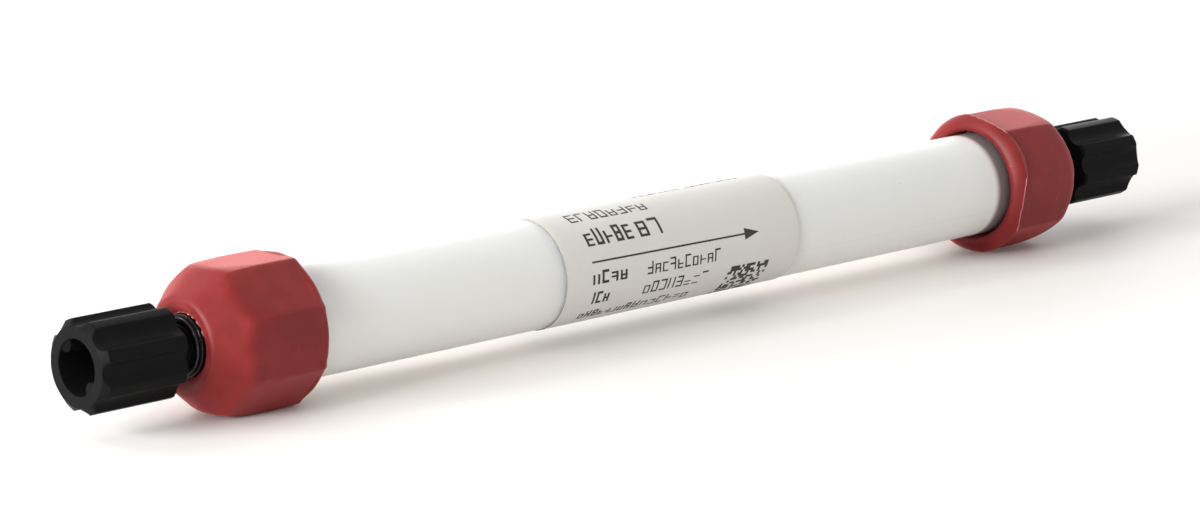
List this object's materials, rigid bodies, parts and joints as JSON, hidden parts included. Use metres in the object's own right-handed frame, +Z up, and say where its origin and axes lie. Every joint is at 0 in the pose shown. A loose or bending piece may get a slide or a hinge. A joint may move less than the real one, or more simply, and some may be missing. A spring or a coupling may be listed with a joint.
{
  "type": "prepacked chromatography column",
  "caption": "Prepacked plastic chromatography column with translucent tube, eight-sided screw caps, end pieces and fluted stop plugs.",
  "frame": {"origin": "on the column's axis, at mid-length and at the middle of the overall box", "axes": "+X along the axis from the inlet end to the outlet end, +Z up as it lies on its caps, -Y the side that the label's print faces"},
  "size_m": [0.1592, 0.0162, 0.0162],
  "materials": {
    "tube_plastic": "translucent milky polypropylene",
    "label_paper": "light warm grey film with dark print",
    "bed_gel": "wet white gel beads",
    "porous_plastic": "white sintered plastic",
    "clear_plastic": "natural moulded plastic",
    "adapter_plastic": "glossy black",
    "seal_rubber": "matt black",
    "cap_plastic": "matt red, finely grained",
    "plug_plastic": "satin black",
    "ferrule_plastic": "natural soft plastic"
  },
  "bodies": {
    "column": {"column_tube": "tube_plastic", "label": "label_paper", "packed_bed": "bed_gel", "inlet_frit": "porous_plastic", "inlet_distributor": "clear_plastic", "inlet_adapter": "adapter_plastic", "inlet_adapter_o_ring": "seal_rubber", "inlet_cap": "cap_plastic", "outlet_frit": "porous_plastic", "outlet_distributor": "clear_plastic", "outlet_adapter": "adapter_plastic", "outlet_adapter_o_ring": "seal_rubber", "outlet_cap": "cap_plastic"},
    "inlet_ferrule": {"inlet_ferrule": "ferrule_plastic"},
    "inlet_plug": {"inlet_plug": "plug_plastic"},
    "outlet_ferrule": {"outlet_ferrule": "ferrule_plastic"},
    "outlet_plug": {"outlet_plug": "plug_plastic"}
  },
  "joints": [
    {"name": "inlet_plug_slide", "type": "slide", "parent": "column", "child": "inlet_ferrule", "axis": [-1, 0, 0], "range_m": [0, 0.00952]},
    {"name": "inlet_plug_turn", "type": "hinge", "parent": "inlet_ferrule", "child": "inlet_plug", "pos_m": [-0.0741, 0, 0], "axis": [-1, 0, 0], "range_deg": [0, 4320]},
    {"name": "outlet_plug_slide", "type": "slide", "parent": "column", "child": "outlet_ferrule", "axis": [1, 0, 0], "range_m": [0, 0.00952]},
    {"name": "outlet_plug_turn", "type": "hinge", "parent": "outlet_ferrule", "child": "outlet_plug", "pos_m": [0.0741, 0, 0], "axis": [1, 0, 0], "range_deg": [0, 4320]}
  ],
  "couplings": [
    {"joint": "inlet_plug_turn", "follows": "inlet_plug_slide", "rad_per_m": 7915.8},
    {"joint": "outlet_plug_turn", "follows": "outlet_plug_slide", "rad_per_m": 7915.8}
  ]
}
